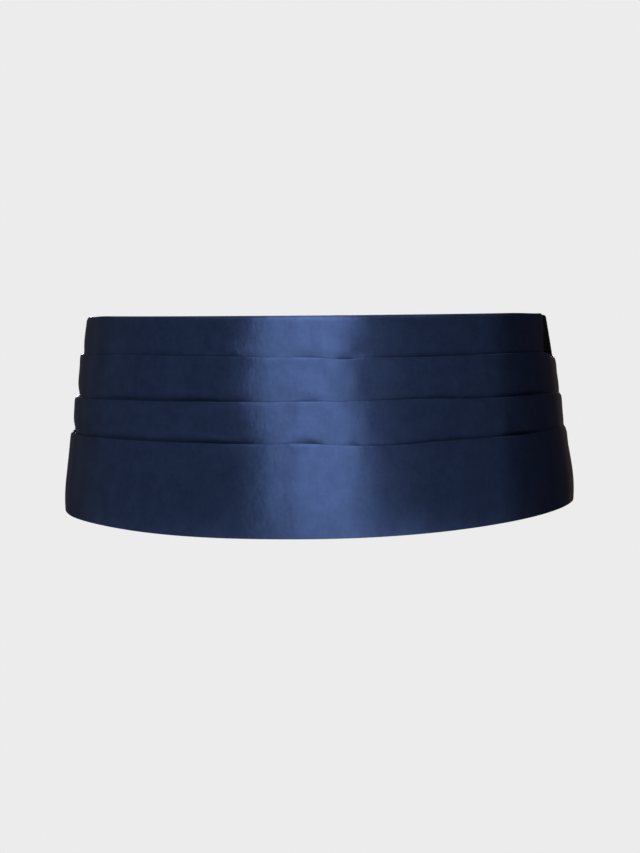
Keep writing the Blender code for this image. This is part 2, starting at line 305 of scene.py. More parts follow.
# how far a fold's edge stands off the tier above, and how deep that tier dips behind it:
# fold, angle, spread, lift, dip
foldGapes = (
    (0, -80, 14, 0.35, 0.5), (0, -30, 12, 0.1, 0.25), (0, -3.2, 3.4, 0.2, 0),
    (0, 5.2, 2.8, 0.2, 0.9), (0, 14.6, 3, 0.05, 0.5), (0, 38, 10, 0.1, 0.3),
    (0, 100, 16, -0.1, 0.3),
    (1, -78, 12, 0.15, 1.1), (1, -38, 15, 0.4, 1.3), (1, -17.5, 7.5, 0.5, 1.7),
    (1, 4.8, 2.6, 0.3, 1), (1, 12, 3, 0.05, 0.12), (1, 38, 9, 0.15, 0.4),
    (1, 66, 12, 0.3, 1), (1, 104, 14, 0.25, 0.4), (1, -104, 14, 0.3, 0.5),
    (2, -78, 12, 0, 1.2), (2, -42, 18, 0.3, 1), (2, -22, 8, 0.2, 0.8),
    (2, -12.5, 6.5, 0.4, 1.15), (2, -1.5, 3, 0.15, 0), (2, 4.2, 3.3, 0.3, 1.3),
    (2, 15.8, 2, 0.1, 0.35), (2, 20, 2.5, 0.1, 0.3), (2, 30, 4, 0.1, 0.3),
    (2, 40, 6, 0.2, 0.6), (2, 62, 6, 0.3, 1.5), (2, -108, 12, 0.3, 0.5),
    (2, 104, 14, 0.2, 0.5),
)
# where a fold's edge is rounded enough to catch the light as a thin line: fold, angle, spread, roll
foldRolls = (
    (0, -3.2, 2.4, 0.3), (0, 4.4, 2.2, 0.25), (0, -80, 14, 0.3), (0, 100, 16, 0.6),
    (1, -3, 4, 0.2), (1, 5.5, 2.5, 0.15), (1, -76, 14, 0.35), (1, 104, 14, 0.25),
    (2, -2.5, 3, 0.25), (2, 4.6, 2.4, 0.2), (2, -76, 14, 0.35), (2, 104, 14, 0.2),
)
# creases and ridges, listed one by one: tier, angle, drop, length, lean from upright, width, depth
creases = (
    (0, 56, 12, 26, 62, 3, -0.12), (0, 30, 16, 16, 20, 3.5, -0.08),
    (0, -38, 14, 20, 70, 3, 0.08), (0, 6, 8, 12, 8, 2.5, -0.05),
    (0, -12, 17, 9, -10, 2, 0.05), (0, 6.8, 20.5, 9, 0, 3, -0.2),
    (1, 2.5, 34, 14, 6, 2.4, -0.07), (1, 16, 38, 20, -12, 4.5, 0.14),
    (1, -58, 38, 22, 75, 3.5, 0.10), (1, 40, 36, 16, 15, 3.5, -0.08), (2, 2, 56, 7, 3, 1.6, -0.10),
    (2, -20, 62, 18, -70, 3, 0.08), (2, 30, 64, 16, 10, 3.5, -0.08),
    (2, 56, 62, 14, 20, 3, 0.10), (3, 0, 92, 30, 4, 3, -0.08),
    (3, 7, 104, 26, -5, 2.6, 0.07), (3, -34, 98, 30, 60, 6, 0.12),
    (3, 42, 96, 30, 12, 5, -0.12), (3, 66, 100, 24, -16, 5, 0.14),
    (1, -92, 36, 22, 66, 3, -0.25), (2, -98, 52, 26, 60, 3, -0.28),
    (3, -100, 74, 34, 52, 3.6, -0.35), (3, -110, 62, 24, 62, 3, 0.28),
    (1, 98, 34, 20, -64, 3, -0.25), (2, 104, 47, 24, -60, 3, -0.28),
    (3, 102, 70, 36, -52, 3.8, -0.35), (3, 113, 58, 20, -60, 2.6, 0.26),
)
# broad, shallow swells that steer the band of light:
# tier, angle, drop, spread along, spread down, depth
swells = (
    (3, 27, 118, 13, 24, 0.38), (1, -10, 34, 7, 9, 0.12),
    (3, 4, 106, 9, 24, 0.22), (2, -3, 60, 6, 13, 0.2),
    (3, -3, 84, 6, 12, 0.18), (3, 96, 104, 26, 26, 1.5),
    (3, -86, 112, 24, 16, 0.5), (0, -15, 20, 8, 7, 0.55),
    (0, 13.5, 20, 6, 7, 0.22), (0, 22, 5, 12, 6, 0.5),
    (1, 7.5, 40, 7, 7, 0.25), (2, 20, 60, 7, 12, 0.24),
    (3, 17, 108, 6, 14, -0.12), (3, -14, 122, 7, 10, 0.25),
)
# the whole cloth turns a little to the left at the top and to the right lower down, in mm a degree
twist = {"middle": 5.5, "spread": 30, "high": -0.062, "low": 0.058, "from": 42, "to": 88}


def lineDrop(line, angle):
    front, sideRise, hipRise, end, turnsAt = line
    turn = math.radians(angle)
    drop = front - sideRise * (1 - math.cos(turn)) - hipRise * (1 - math.cos(2 * turn))
    return mix(drop, end, smooth(turnsAt, panel["endAngle"], abs(angle)))


def topSag(angle):
    return sum(depth * smooth(start, end, angle) for start, end, depth in topSags)


def topDrop(angle):
    return lineDrop(topEdge, angle) + topSag(angle)


def hemDrop(angle):
    return lineDrop(hemLine, angle) + sum(depth * bell(angle - middle, spread)
                                          for middle, spread, depth in hemSags)


def bellSum(rows, fold, angle, column=3):
    return sum(row[column] * bell(angle - row[1], row[2]) for row in rows if row[0] == fold)


def foldDrop(fold, angle):
    return lineDrop(foldLines[fold], angle) + bellSum(foldSags, fold, angle)


def hemShare(angle):
    # near the panel's ends the last tier is too narrow for a full turning
    return min(1.0, (hemDrop(angle) - foldDrop(2, angle)) / panel["fullHem"])


def gapeOf(fold, angle):
    return (panel["foldLift"] + bellSum(foldGapes, fold, angle),
            panel["foldDip"] + bellSum(foldGapes, fold, angle, 4),
            panel["foldRoll"] + bellSum(foldRolls, fold, angle))


def reliefOf(tier, angle, drop):
    height = 0.0
    for which, middle, level, length, lean, width, depth in creases:
        if which == tier and abs(angle - middle) < panel["creaseReach"]:
            turn = math.radians(lean)
            along, down = (angle - middle) * ring["degree"], drop - level
            run = down * math.cos(turn) + along * math.sin(turn)
            across = along * math.cos(turn) - down * math.sin(turn)
            height += depth * bell(across, width) * bell(run, length * 0.5)
    for which, middle, level, spreadAlong, spreadDown, depth in swells:
        if which == tier:
            height += depth * bell(angle - middle, spreadAlong) * bell(drop - level, spreadDown)
    return height


def panelSection(angle):
    # the cloth's middle line from its turned-in top edge to its hem, as (offset, drop)
    pitch, base = panel["layerPitch"], panel["faceOffset"]
    radius = pitch / 2
    folds = [foldDrop(fold, angle) for fold in range(3)]
    gapes = [gapeOf(fold, angle) for fold in range(3)]
    tops = [topDrop(angle)] + folds
    bottoms = folds + [hemDrop(angle)]

    def laid(tier, drop):
        high = pitch if tier else 0.0
        low = -pitch if tier < 3 else 0.0
        fade = smooth(0.0, panel["reliefFade"], drop - tops[tier])
        if tier < 3:
            fade *= smooth(0.0, panel["reliefFade"], bottoms[tier] - drop)
        share = (drop - tops[tier]) / (bottoms[tier] - tops[tier])
        turned = mix(twist["high"], twist["low"], smooth(twist["from"], twist["to"], drop))
        turned *= (angle - twist["middle"]) * bell(angle - twist["middle"], twist["spread"])
        return base + mix(high, low, share) + reliefOf(tier, angle, drop) * fade + turned

    def dipped(fold, drop):
        # a tier sinks behind the fold below it, more so and from further up on the left
        reach = drop - folds[fold]
        above = mix(panel["dipAbove"], panel["leftDipAbove"], smooth(*panel["dipWidens"], angle))
        depth = gapes[fold][1] * mix(1.0, panel["leftDipShare"], smooth(*panel["dipDeepens"], angle))
        return depth * bell(reach, above if reach < 0 else panel["dipBelow"])

    def face(tier, drop):
        middle = laid(tier, drop)
        roll, reach = panel["topRoll"], panel["topRollReach"]
        if tier:
            lift, _, roll = gapes[tier - 1]
            reach = mix(panel["foldRollReach"], panel["sideRollReach"],
                        smooth(*panel["rollWidens"], abs(angle)))
            middle += lift * bell(drop - tops[tier], panel["liftReach"])
        middle -= roll * max(0.0, 1 - (drop - tops[tier]) / reach) ** 2
        if tier < 3:
            return middle - dipped(tier, drop)
        reach = min(panel["hemCurlReach"], panel["curlShare"] * (bottoms[3] - tops[3]))
        curl = mix(panel["hemCurl"], panel["sideHemCurl"], smooth(*panel["curlEases"], abs(angle)))
        return middle - curl * max(0.0, 1 - (bottoms[3] - drop) / reach) ** 2

    def hairpin(before, after, drop, way):
        for step in range(panel["foldRows"] + 1):
            turn = math.pi * step / panel["foldRows"]
            yield mix(before, after, (1 - math.cos(turn)) / 2), drop + way * radius * math.sin(turn)

    points = []
    start = tops[0] + radius
    for drop in spaced(tops[0] + panel["topTurning"], start, panel["turningRows"])[:-1]:
        points.append((face(0, drop) - pitch, drop))
    for tier in range(4):
        if tier:
            depth, endDepth, taperFrom, taperTo = underlays[tier - 1]
            depth = mix(depth, endDepth, smooth(taperFrom, taperTo, abs(angle)))
            turnDrop = tops[tier] + depth - radius
            for drop in spaced(tops[tier], turnDrop, panel["hiddenRows"])[1:-1]:
                points.append((laid(tier, drop) - 2 * pitch - dipped(tier - 1, drop), drop))
            behind = laid(tier, turnDrop) - 2 * pitch - dipped(tier - 1, turnDrop)
            points.extend(hairpin(behind, face(tier, turnDrop) - pitch, turnDrop, 1))
            start = tops[tier] + radius
            for drop in spaced(turnDrop, start, panel["hiddenRows"])[1:-1]:
                points.append((face(tier, drop) - pitch, drop))
        points.extend(list(hairpin(face(tier, start) - pitch, face(tier, start), start, -1))[:-1])
        end = bottoms[tier] - (radius if tier == 3 else 0.0)
        for step in range(panel["faceRows"][tier] + 1):
            share = step / panel["faceRows"][tier]
            share -= panel["crowding"] * math.sin(2 * math.pi * share)    # rows crowd to both folds
            drop = mix(start, end, share)
            points.append((face(tier, drop), drop))
    points.extend(list(hairpin(face(3, end), face(3, end) - pitch, end, 1))[1:])
    for step in range(1, panel["turningRows"] + 1):
        drop = end - panel["hemTurning"] * hemShare(angle) * step / panel["turningRows"]
        points.append((face(3, drop) - pitch, drop))
    return points


def panelStations():
    # columns round the panel, closer together where an end rolls inwards
    seam, end = panel["seamAngle"], panel["endAngle"]
    front = spaced(-seam + panel["frontInset"], seam - panel["frontInset"], panel["frontColumns"])
    edge = [seam - inset for inset in panel["seamInsets"]]
    tail = spaced(seam, end - panel["tailInset"], panel["tailColumns"])[1:]
    tail += [end - inset for inset in panel["endInsets"]]
    side = edge + tail
    return [-angle for angle in reversed(side)] + front + side, len(tail)


def makeFrontPanel(face, reverse):
    stations, tailCount = panelStations()
    sections = [panelSection(angle) for angle in stations]
    rows = len(sections[0])
    firstTier = panel["turningRows"] + panel["foldRows"] + panel["faceRows"][0] + 1
    firstTier += panel["hiddenRows"] - 1 + panel["foldRows"] // 2
    arc = [0.0]
    for before, after in zip(stations, stations[1:]):
        step = ringPoint(after, panel["arcDrop"], 0.0) - ringPoint(before, panel["arcDrop"], 0.0)
        arc.append(arc[-1] + step.length / mm)

    def placed(column, row, offset, drop):
        # the first tier's end leans forward down to the first fold, and every end rolls inwards
        angle = stations[column]
        size = abs(angle)
        top, fold = topDrop(angle), foldDrop(0, angle)
        down = min(1.0, max(0.0, (drop - top) / (fold - top)))
        shift = mix(panel["seamTopShift"], panel["seamFoldShift"], down)
        shift *= 1 - smooth(firstTier - 3, firstTier + 4, row)
        shift *= smooth(panel["shiftsFrom"], panel["seamAngle"], size)
        shift *= 1 - smooth(panel["seamAngle"], panel["endAngle"], size)
        end = panel["seamAngle"] if row < firstTier else panel["endAngle"]
        left = max(0.0, 1 - (end - size) * ring["degree"] / panel["rollWidth"]) if size <= end else 0.0
        offset -= panel["edgeRoll"] * left ** 2
        return ringPoint(math.copysign(size + shift, angle), drop, offset)

    grids = []
    for distance in (panel["cloth"] / 2, -panel["cloth"] / 2):
        moved = [beside(section, distance) for section in sections]
        grids.append([[placed(column, row, *moved[column][row]) for column in range(len(stations))]
                      for row in range(rows)])
    places = []
    run = [0.0] * len(stations)
    for row in range(rows):
        if row:
            for column, section in enumerate(sections):
                (a, b), (c, d) = section[row - 1], section[row]
                run[column] += math.hypot(c - a, d - b)
        places.append([(run[column], arc[column]) for column in range(len(stations))])

    def keep(row, column):
        inFront = tailCount <= column < len(stations) - 1 - tailCount
        return inFront or row >= firstTier

    made = closedShell("front_panel_satin", grids[0], grids[1], keep, (face, reverse), places)
    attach(made, "root")
    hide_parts("front_panel")
    return made


strap = {
    "dark": "#040408", "light": "#1c1c24",
    "width": 35, "cloth": 1, "start": 72, "sideDrop": -0.4, "backDrop": 11.5,
    "dipsOver": (84, 142), "seamOffset": -3, "risesOver": (80, 91), "sideOffset": -1.45,
    "sinksOver": (118, 152), "offset": -3.6,
    "tuck": 20, "runColumns": 120, "tuckColumns": 16, "bendColumns": 8,
    "ribs": 16, "rowsPerRib": 3, "ribHeight": 0.11,
}
# the clasp's plates: edges are distances out from the centre back
clasp = {
    "nickelDeep": "#cdc9c1", "nickel": "#dcd9d2",
    "metal": 1.2, "gap": 0.3, "slack": 0.1, "rail": 2, "margin": 0.5,
    "end": 19.5, "barEdge": 17, "slotEdge": 13.5, "hookEdge": 4.5, "eyeEdge": 0.5,
    "windowHeight": 16, "windowOuter": 10.5, "windowInner": 4,
    "tongueHeight": 14, "tongueRoots": (1.2, 0.4), "tongueRiseEnd": 0.5, "tongueTip": 0,
    "tongueRadius": 1.6,
    "corner": 2.2, "holeCorner": 0.9, "easedEdge": 0.28, "cutPitch": 1.2,
}
loopDepth = clasp["metal"] / 2 + clasp["gap"] + strap["cloth"] / 2


def backAngle(distance):
    wide = halfWidth(strap["backDrop"] + strap["width"] / 2)
    turn = math.asin((abs(distance) / wide) ** (ring["roundness"] / 2))
    return math.copysign(180 - math.degrees(turn), distance)


def strapTop(angle):
    side = strap["sideDrop"] + topSag(angle)
    return mix(side, strap["backDrop"], smooth(*strap["dipsOver"], abs(angle)))


def strapMiddle(angle):
    # tight inside the panel at the seam, close under the second tier past it, and clear at the back
    size = abs(angle)
    middle = mix(strap["seamOffset"], strap["sideOffset"], smooth(*strap["risesOver"], size))
    return mix(middle, strap["offset"], smooth(*strap["sinksOver"], size))


def strapPoint(angle, share, depth):
    return ringPoint(angle, strapTop(angle) + strap["width"] * share, strapMiddle(angle) + depth)


def claspPoint(angle, level, depth):
    share = level / strap["width"]
    return ringPoint(angle, strapTop(angle) + strap["width"] * share, strap["offset"] + depth)


def makeElastic():
    # black elastic webbing: covered rubber cords run along it between woven ribs, matt like cotton tape
    material, tree, shader = newMaterial("black woven elastic", Roughness=0.8, Specular_IOR_Level=0.08)
    place = addNode(tree, "ShaderNodeUVMap", uv_map="clothPlace")   # u runs across the band, v along it
    cross = addNode(tree, "ShaderNodeTexWave", {"Vector": place.outputs["UV"], "Scale": 0.42,
                                                "Distortion": 0.6, "Detail": 1.0}, bands_direction="Y")
    fuzz = noise(tree, place.outputs["UV"], 1.7, 2.0)
    ribPitch = strap["width"] / strap["ribs"]
    # the band is painted lighter in stripes at the rib pitch, a painted highlight along each cord,
    # mottled by the fuzz noise
    cords = addNode(tree, "ShaderNodeTexWave", {
        "Vector": place.outputs["UV"], "Scale": math.pi / (10 * ribPitch)}, bands_direction="X")
    cordHighlight = addNode(tree, "ShaderNodeMath", {0: cords.outputs["Fac"], 1: fuzz}, operation="MULTIPLY")
    dress(tree, shader, cordHighlight.outputs[0], strap["dark"], strap["light"],
          (cross.outputs["Fac"], 0.7, 0.12))
    return material


def makeStrap(name, node, side, material):
    rows = strap["ribs"] * strap["rowsPerRib"]
    turnAt = clasp["barEdge"] + clasp["slack"]
    grids = []
    for half in (strap["cloth"] / 2, -strap["cloth"] / 2):
        columns = [(angle, half) for angle in spaced(strap["start"], backAngle(turnAt),
                                                     strap["runColumns"])[:-1]]
        for step in range(strap["bendColumns"] + 1):
            turn = math.pi * step / strap["bendColumns"]
            reach = loopDepth + half
            columns.append((backAngle(turnAt - reach * math.sin(turn)),
                            reach * math.cos(turn) - loopDepth))
        for step in range(1, strap["tuckColumns"] + 1):
            gone = strap["tuck"] * step / strap["tuckColumns"]
            columns.append((backAngle(turnAt + gone), -2 * loopDepth - half))
        grid = []
        for row in range(rows + 1):
            rib = strap["ribHeight"] * abs(math.sin(math.pi * row / strap["rowsPerRib"]))
            line = []
            for angle, depth in columns:
                outward = 1 if depth > -loopDepth else -1
                swell = rib * (1 if half > 0 else -1) * outward
                line.append(strapPoint(side * angle, row / rows, depth + swell))
            grid.append(line)
        grids.append(grid)
    middle = rows // 2
    run = [0.0]
    for before, after in zip(grids[0][middle], grids[0][middle][1:]):
        run.append(run[-1] + (after - before).length / mm)
    places = [[(strap["width"] * row / rows, gone) for gone in run] for row in range(rows + 1)]
    made = closedShell(name, grids[0], grids[1], lambda row, column: True, (material,), places)
    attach(made, "root")
    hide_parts(node)
    return made, run[-1]


def makePlating():
    # bright nickel over stamped steel: a clear metal gloss with draw marks 0.25 mm apart and 6 mm haze
    material, tree, shader = newMaterial("nickel plated steel", Metallic=1.0, Roughness=0.28)
    place = addNode(tree, "ShaderNodeTexCoord")
    grainPlace = addNode(tree, "ShaderNodeMapping", {
        "Vector": place.outputs["Object"], "Scale": (300.0, 300.0, 4000.0)})
    grain = noise(tree, grainPlace.outputs["Vector"], 1.0, 2.0)
    haze = noise(tree, place.outputs["Object"], 160.0, 3.0)
    rough = addNode(tree, "ShaderNodeMapRange", {"Value": haze, "From Min": 0.3, "From Max": 0.7,
                                                 "To Min": 0.28, "To Max": 0.34})
    tree.links.new(rough.outputs["Result"], shader.inputs["Roughness"])
    dress(tree, shader, haze, clasp["nickelDeep"], clasp["nickel"], (grain, 0.25, 0.01))
    return material


def roundedLoop(left, low, right, high, corner):
    loop = []
    for x, y, start in ((right - corner, high - corner, 0), (left + corner, high - corner, 90),
                        (left + corner, low + corner, 180), (right - corner, low + corner, 270)):
        for step in range(7):
            turn = math.radians(start + 15 * step)
            loop.append((x + corner * math.cos(turn), y + corner * math.sin(turn)))
    return loop


def plateOutline(edge):
    out = clasp["margin"] + clasp["rail"]
    return roundedLoop(clasp[edge], -out, clasp["end"], strap["width"] + out, clasp["corner"])


def stampedPlate(loops):
    # a flat plate with holes, its edges eased, as a mesh in millimetres
    eased = clasp["easedEdge"]
    shape = bpy.data.curves.new("plate blank", "CURVE")
    shape.dimensions, shape.fill_mode = "2D", "BOTH"
    shape.extrude = clasp["metal"] / 2 - eased
    shape.bevel_depth, shape.bevel_resolution, shape.offset = eased, 2, -eased
    for loop in loops:
        spline = shape.splines.new("POLY")
        spline.points.add(len(loop) - 1)
        for point, (x, y) in zip(spline.points, loop):
            point.co = (x, y, 0.0, 1.0)
        spline.use_cyclic_u = True
    holder = bpy.data.objects.new("plate blank", shape)
    bpy.context.scene.collection.objects.link(holder)
    flat = evaluatedMesh(holder)
    bpy.data.objects.remove(holder)
    return flat


def makeClaspPlate(name, node, side, loops, material, tongue=None):
    mesh = bmesh.new()
    mesh.from_mesh(stampedPlate(loops))
    bmesh.ops.remove_doubles(mesh, verts=mesh.verts, dist=0.001)
    distance = clasp["eyeEdge"] + clasp["cutPitch"] / 2
    while distance < clasp["end"]:      # cut into strips, so that it can bend round the back
        bmesh.ops.bisect_plane(mesh, geom=mesh.verts[:] + mesh.edges[:] + mesh.faces[:],
                               plane_co=(distance, 0, 0), plane_no=(1, 0, 0), dist=0.001)
        distance += clasp["cutPitch"]
    for vert in mesh.verts:
        x, y, z = vert.co
        vert.co = claspPoint(backAngle(side * x), y, z - loopDepth)
    if tongue:
        tongue(mesh, side)
    bmesh.ops.recalc_face_normals(mesh, faces=mesh.faces)
    for face in mesh.faces:
        face.smooth = True
    data = takeMesh(name, mesh)
    data.set_sharp_from_angle(angle=math.radians(40))
    made = meshObject(name, data, material)
    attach(made, "root")
    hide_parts(node)


def addTongue(mesh, side):
    # the tongue leaves the plate, rises over the eye's end bar and bends back under it
    path = [(clasp["hookEdge"] + root, 0.0) for root in clasp["tongueRoots"]]
    for share in spaced(0.0, 1.0, 10):
        path.append((mix(clasp["hookEdge"], clasp["tongueRiseEnd"], share),
                     clasp["tongueRadius"] * smooth(0.0, 1.0, share)))
    turnAt = clasp["slack"] - clasp["windowInner"]
    for distance in spaced(clasp["tongueRiseEnd"], turnAt, 5)[1:-1]:
        path.append((distance, clasp["tongueRadius"]))
    for step in range(13):
        turn = math.pi * step / 12
        path.append((turnAt - clasp["tongueRadius"] * math.sin(turn),
                     clasp["tongueRadius"] * math.cos(turn)))
    path += [(mix(turnAt, clasp["tongueTip"], share), -clasp["tongueRadius"])
             for share in (0.25, 0.5, 0.75, 0.9, 1.0)]
    middle, half = strap["width"] / 2, clasp["tongueHeight"] / 2
    eased = clasp["easedEdge"]
    thick = clasp["metal"] / 2
    outline = [(-half + eased, thick), (0, thick), (half - eased, thick), (half, thick - eased),
               (half, eased - thick), (half - eased, -thick), (0, -thick), (-half + eased, -thick),
               (-half, eased - thick), (-half, thick - eased)]
    lines = [beside(path, lift) for level, lift in outline]
    rings = []
    for index in range(len(path)):
        last = len(path) - 1 - index
        narrow = {0: 2.4, 1: 1.2, 2: 0.5}.get(last, 0.0)     # the tip's corners are rounded off
        ringVerts = []
        for (level, lift), line in zip(outline, lines):
            distance, depth = line[index]
            level = math.copysign(max(0.0, abs(level) - narrow), level)
            ringVerts.append(mesh.verts.new(claspPoint(backAngle(side * distance), middle + level,
                                                       depth - loopDepth)))
        rings.append(ringVerts)
    for before, after in zip(rings, rings[1:]):
        for index in range(len(outline)):
            following = (index + 1) % len(outline)
            mesh.faces.new((before[index], before[following], after[following], after[index]))
    mesh.faces.new(rings[0])
    mesh.faces.new(list(reversed(rings[-1])))


stitching = {
    "length": 2.4, "gap": 0.9, "thread": 0.42, "lift": 0.16, "seed": 4,
    "blindLength": 1.1, "blindGap": 6, "proud": 0.05, "inset": 1,
    "tailInsets": (1.1, 2), "tailMargin": 1.2, "hemReach": 124, "topReach": 80,
    "loopRows": (14.5, 17), "seamRows": (1.2, 3.4),     # out from the bar, and from the strap's start
    "loopLevel": 30, "seamLevel": 20,   # the drop where their outward direction is taken
}


def makeThread(name, light, dark):
    # spun polyester thread: a soft twist, 0.4 mm long, that catches light in short dashes
    material, tree, shader = newMaterial(name, Roughness=0.5, Sheen_Weight=0.3)
    place = addNode(tree, "ShaderNodeTexCoord")
    plies = noise(tree, place.outputs["Object"], 2500.0, 1.0)
    dress(tree, shader, plies, dark, light, (plies, 0.4, 0.05))
    return material


def stitchTree(material):
    tree = bpy.data.node_groups.new("row of stitches", "GeometryNodeTree")
    tree.interface.new_socket("Geometry", in_out="INPUT", socket_type="NodeSocketGeometry")
    for name in ("Stitch length", "Gap", "Thread width", "Lift"):
        tree.interface.new_socket(name, in_out="INPUT", socket_type="NodeSocketFloat")
    tree.interface.new_socket("Seed", in_out="INPUT", socket_type="NodeSocketInt")
    tree.interface.new_socket("Geometry", in_out="OUTPUT", socket_type="NodeSocketGeometry")
    given = addNode(tree, "NodeGroupInput").outputs
    pitch = addNode(tree, "ShaderNodeMath", {0: given["Stitch length"], 1: given["Gap"]},
                    operation="ADD")
    line = addNode(tree, "GeometryNodeMeshToCurve", {"Mesh": given["Geometry"]})
    spots = addNode(tree, "GeometryNodeResampleCurve", {"Curve": line.outputs["Curve"],
                                                        "Length": pitch.outputs[0]}, mode="LENGTH")
    part = {}
    for name, size, times in (
            ("front", "Stitch length", 0.5), ("rear", "Stitch length", -0.5), ("rise", "Lift", 2.0),
            ("sink", "Lift", -1.0), ("radius", "Thread width", 0.5)):
        part[name] = addNode(tree, "ShaderNodeMath", {0: given[size], 1: times},
                             operation="MULTIPLY").outputs[0]
    first = addNode(tree, "ShaderNodeCombineXYZ", {"X": part["rear"], "Z": part["sink"]})
    crown = addNode(tree, "ShaderNodeCombineXYZ", {"Z": part["rise"]})
    last = addNode(tree, "ShaderNodeCombineXYZ", {"X": part["front"], "Z": part["sink"]})
    arch = addNode(tree, "GeometryNodeCurveQuadraticBezier", {
        "Resolution": 5, "Start": first.outputs[0], "Middle": crown.outputs[0], "End": last.outputs[0]})
    profile = addNode(tree, "GeometryNodeCurvePrimitiveCircle", {"Resolution": 6,
                                                                 "Radius": part["radius"]})
    stitch = addNode(tree, "GeometryNodeCurveToMesh", {
        "Curve": arch.outputs["Curve"], "Profile Curve": profile.outputs["Curve"], "Fill Caps": True})
    tangent = addNode(tree, "GeometryNodeInputTangent")
    outward = addNode(tree, "GeometryNodeInputNamedAttribute", {"Name": "outward"},
                      data_type="FLOAT_VECTOR")
    along = addNode(tree, "FunctionNodeAlignRotationToVector", {"Vector": tangent.outputs[0]}, axis="X")
    upright = addNode(tree, "FunctionNodeAlignRotationToVector", {
        "Rotation": along.outputs["Rotation"], "Vector": outward.outputs["Attribute"]},
        axis="Z", pivot_axis="X")
    uneven = addNode(tree, "FunctionNodeRandomValue", {2: 0.9, 3: 1.08, "Seed": given["Seed"]},
                     data_type="FLOAT")
    placed = addNode(tree, "GeometryNodeInstanceOnPoints", {
        "Points": spots.outputs["Curve"], "Instance": stitch.outputs["Mesh"],
        "Rotation": upright.outputs["Rotation"], "Scale": uneven.outputs[1]})
    real = addNode(tree, "GeometryNodeRealizeInstances", {"Geometry": placed.outputs["Instances"]})
    dressed = addNode(tree, "GeometryNodeSetMaterial", {"Geometry": real.outputs["Geometry"],
                                                        "Material": material})
    addNode(tree, "NodeGroupOutput", {"Geometry": dressed.outputs["Geometry"]})
    return tree


def stitchRows(name, rows, tree, length=None, gap=None):
    # rows are lists of (point, outward direction) pairs, one list for each row
    mesh = bmesh.new()
    facing = mesh.verts.layers.float_vector.new("outward")
    for row in rows:
        before = None
        for point, outward in row:
            vert = mesh.verts.new(point)
            vert[facing] = outward
            if before:
                mesh.edges.new((before, vert))
            before = vert
    made = meshObject(name, takeMesh(name, mesh))
    modifier = made.modifiers.new("row of stitches", "NODES")
    modifier.node_group = tree
    sizes = {
        "Stitch length": (length or stitching["length"]) * mm, "Gap": (gap or stitching["gap"]) * mm,
        "Thread width": stitching["thread"] * mm, "Lift": stitching["lift"] * mm,
        "Seed": stitching["seed"],
    }
    for item in tree.interface.items_tree:
        if item.in_out == "INPUT" and item.name in sizes:
            modifier[item.identifier] = sizes[item.name]
    finished = evaluatedMesh(made)
    made.modifiers.clear()
    made.data = finished
    finished.name = name
    finished.shade_smooth()
    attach(made, "root")
    return made


def panelSurface(angle, drop, inside=False):
    # how far out (or in) the panel's cloth reaches at this drop
    found = []
    section = panelSection(angle)
    for distance in (panel["cloth"] / 2, -panel["cloth"] / 2):
        points = beside(section, distance)
        for (a, b), (c, d) in zip(points, points[1:]):
            if (b - drop) * (d - drop) <= 0 and b != d:
                found.append(mix(a, c, (drop - b) / (d - b)))
    return min(found) if inside else max(found)


def outwardAt(angle, drop):
    return (ringPoint(angle, drop, 1.0) - ringPoint(angle, drop, 0.0)).normalized()


def sewnPoint(angle, drop, inside=False):
    # a point just off the cloth, and the way that the cloth faces there
    way = -1 if inside else 1
    offset = panelSurface(angle, drop, inside) + way * stitching["proud"]
    return ringPoint(angle, drop, offset), way * outwardAt(angle, drop)


def strapRow(angle, depth, way, level):
    facing = way * outwardAt(angle, level)
    return [(strapPoint(angle, share, depth), facing) for share in spaced(0.05, 0.95, 12)]


def makeStitches(navyThread, blackThread):
    navyTree, blackTree = stitchTree(navyThread), stitchTree(blackThread)
    tailRows, hemRow, topRow = [], [], []
    for side in (-1, 1):
        for inset in stitching["tailInsets"]:
            angle = side * (panel["endAngle"] - inset)
            top = foldDrop(0, angle) + stitching["tailMargin"]
            bottom = hemDrop(angle) - stitching["tailMargin"]
            tailRows.append([sewnPoint(angle, drop) for drop in spaced(top, bottom, 24)])
    for angle in spaced(-stitching["hemReach"], stitching["hemReach"], 200):
        drop = hemDrop(angle) - (panel["hemTurning"] - stitching["inset"]) * hemShare(angle)
        hemRow.append(sewnPoint(angle, drop, True))
    for angle in spaced(-stitching["topReach"], stitching["topReach"], 160):
        topRow.append(sewnPoint(angle, topDrop(angle) + panel["topTurning"] - stitching["inset"], True))
    sewn = [stitchRows("tail_stitches", tailRows, navyTree),
            stitchRows("turning_stitches", [hemRow, topRow], navyTree,
                       stitching["blindLength"], stitching["blindGap"])]
    strapSewn = []
    half = strap["cloth"] / 2 + strap["ribHeight"]
    for side, name in ((-1, "strap_left_stitches"), (1, "strap_right_stitches")):
        rows = []
        for gone in stitching["loopRows"]:
            angle = backAngle(side * (clasp["barEdge"] + gone))
            rows += [strapRow(angle, half, 1, stitching["loopLevel"]),
                     strapRow(angle, -2 * loopDepth - half, -1, stitching["loopLevel"])]
        for gone in stitching["seamRows"]:
            rows.append(strapRow(side * (strap["start"] + gone), -half, -1, stitching["seamLevel"]))
        strapSewn.append(stitchRows(name, rows, blackTree))
    return sewn, strapSewn


studio = {
    "paper": "#ececec", "floorBelow": 2600, "roomRadius": 9000, "pressedTo": 0.001, "shade": 0.0134,
    "lightDistance": 2600, "lightCentre": -40,
}
